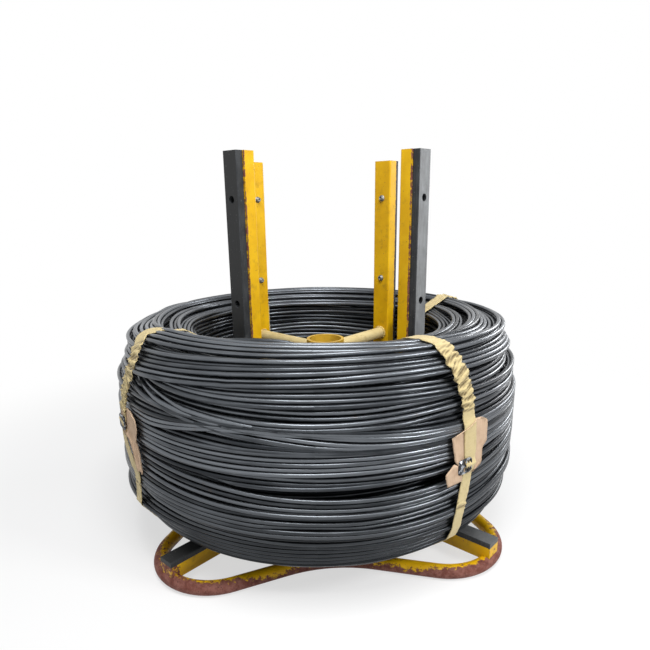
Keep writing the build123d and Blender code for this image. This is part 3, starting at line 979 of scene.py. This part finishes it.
def turned_rings(centre, axis, profile, sides=16):
    """Rings of a turned shape: (radius, distance along the axis) pairs, from its foot to its top."""
    side = unit(np.cross(axis, UP))
    other = np.cross(axis, side)
    around = 2 * np.pi * np.arange(sides)[:, None] / sides
    circle = np.cos(around) * side - np.sin(around) * other
    return np.array([centre + axis * along + radius * circle for radius, along in profile])


def add_bolts(material):
    """The heads of the pads' bolts, on the inner faces of the uprights' webs."""
    heads = []
    for heading in corner_headings:
        out, _ = directions(heading)
        for level in bolt_levels:
            heads.append(turned_rings(out * web_face + UP * level, -out, bolt_head))
    add_lofts("pad_bolts", heads, material, closed=False)


def add_welds(material):
    """A rippled bead round each strut where it meets an upright."""
    around = np.radians(np.arange(0, 360, 5))
    tube = 2 * np.pi * np.arange(8)[:, None] / 8
    beads = []
    for heading in corner_headings:
        out, side = directions(heading)
        ripple = 1 + 0.16 * np.sin(17 * around) + 0.12 * np.sin(5 * around + math.radians(heading))
        ripple = weld_size * ripple
        spoke = np.cos(around)[:, None] * side + np.sin(around)[:, None] * UP
        middle = out * (web_face - 1.0) + UP * strut_level + spoke * (strut_radius + 0.5)
        ring = np.cos(tube) * spoke[:, None] - np.sin(tube) * out
        beads.append(middle[:, None] + ring * ripple[:, None, None])
    add_lofts("strut_welds", beads, material)


# Floor, light and camera

def add_floor():
    """A pale floor that keeps the shadow and fades into the white background."""
    g = Graph("floor")
    reach = g.node("VectorMath", {0: g.place}, operation="LENGTH").outputs["Value"]
    share = g.times(g.seen(), g.span(reach, 0.9, 2.4, 0.62, 1.0))
    matt = g.node("BsdfDiffuse", {"Color": (0.8, 0.8, 0.8, 1)}).outputs[0]
    white = g.node("Emission", {"Color": (1, 1, 1, 1), "Strength": 1.0}).outputs[0]
    mixed = g.node("MixShader", {0: share, 1: matt, 2: white}).outputs[0]
    g.node("OutputMaterial", {"Surface": mixed})
    mesh = bpy.data.meshes.new("floor")
    half = 30.0
    edge = [(-half, -half, 0), (half, -half, 0), (half, half, 0), (-half, half, 0)]
    mesh.from_pydata(edge, [], [(0, 1, 2, 3)])
    mesh.materials.append(g.owner)
    floor = new_object("floor", mesh)


def set_world():
    """White where it is seen, and dimmer where it lights the object."""
    g = Graph("studio", bpy.data.worlds)
    soft = g.node("Background", {"Color": (0.95, 0.97, 1.0, 1), "Strength": 0.3}).outputs[0]
    white = g.node("Background", {"Color": (1, 1, 1, 1), "Strength": 1.0}).outputs[0]
    mixed = g.node("MixShader", {0: g.seen(), 1: soft, 2: white}).outputs[0]
    g.node("OutputWorld", {"Surface": mixed})
    bpy.context.scene.world = g.owner


def add_lamp(name, place, size, power):
    """A square soft lamp, aimed at the coil."""
    light = bpy.data.lights.new(name, "AREA")
    light.size = size
    light.energy = power
    lamp = new_object(name, light)
    lamp.location = place
    target = Vector((0, 0, 0.4))
    lamp.rotation_euler = (target - Vector(place)).to_track_quat("-Z", "Y").to_euler()


def set_camera():
    """The photo's camera, from a fit to the carrier's edges and holes."""
    picture = 650.0  # pixels along a side of the photo
    focal_pixels = 557.8
    axis_x, axis_y = 325.5, 353.55  # where the view axis meets the picture
    pitch, roll = 15.415, -0.728
    sensor = 36.0
    camera = new_object("camera", bpy.data.cameras.new("camera"))
    camera.data.sensor_width = sensor
    camera.data.lens = focal_pixels * sensor / picture
    camera.data.shift_x = (picture / 2 - axis_x) / picture
    camera.data.shift_y = (axis_y - picture / 2) / picture
    camera.location = (0.0, -1.9345, 1.0941)
    down = Euler((math.radians(90 - pitch), 0, 0)).to_matrix()
    camera.rotation_euler = (down @ Euler((0, 0, math.radians(roll))).to_matrix()).to_euler()
    bpy.context.scene.camera = camera


def paint_carrier():
    """Node materials on the carrier's own pieces."""
    rust = srgb(128, 80, 70)
    uprights = yellow_paint("upright_paint", edge_wear, rust)
    arms = yellow_paint("arm_paint", arm_wear, rust)
    pipe_paint = yellow_paint("pipe_paint", pipe_wear, srgb(128, 84, 74))
    inner = yellow_paint("strut_paint", light_wear, rust, srgb(192, 172, 120), srgb(208, 190, 140))
    tube = yellow_paint("tube_paint", light_wear, rust, srgb(186, 148, 44), srgb(204, 166, 58))
    finish = {"base_loop": pipe_paint, "centre_tube": tube}
    for name, seat, face in zip(corners, seat_greys_worn_and_lit, face_greys_worn_and_lit):
        finish[f"arm_{name}"] = arms
        finish[f"upright_{name}"] = uprights
        finish[f"strut_{name}"] = inner
        finish[f"arm_pad_{name}"] = black_nylon(f"nylon_seat_{name}", seat, top=1.0)
        finish[f"upright_pad_{name}"] = black_nylon(f"nylon_{name}", face)
    for node, material in finish.items():
        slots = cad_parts[node].material_slots
        if not slots:
            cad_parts[node].data.materials.append(material)
        for slot in slots:
            slot.material = material


steel = wire_steel()
inner_turns, flank_turns, bore_turns = lay_coil()
half = len(inner_turns) // 2
add_turns("flank_turns", flank_turns, steel)
add_turns("top_and_bore_turns", bore_turns, steel)
add_turns("inner_turns_outside", inner_turns[:half], steel)
add_turns("inner_turns_inside", inner_turns[half:], steel)
add_core(steel)
paint_carrier()

turns = inner_turns + flank_turns + bore_turns
webbing, cardboard, clasp = cream_webbing(), brown_cardboard(), dark_buckle()
for name in strap_headings:
    add_strap(name, turns, webbing)
    add_board(name, turns, cardboard)
    add_buckle(name, turns, clasp)
add_bolts(plated_bolt())
add_welds(weld_metal())

add_floor()
set_world()
add_lamp("overhead", (0.0, -1.4, 3.3), size=1.6, power=100)
add_lamp("right_side", (2.4, -1.7, 2.2), size=0.7, power=60)
add_lamp("right_back", (2.5, 1.7, 1.5), size=0.8, power=27)
add_lamp("left_fill", (-2.3, -2.6, 1.5), size=2.4, power=8)
set_camera()
bpy.context.scene.view_settings.view_transform = "Standard"
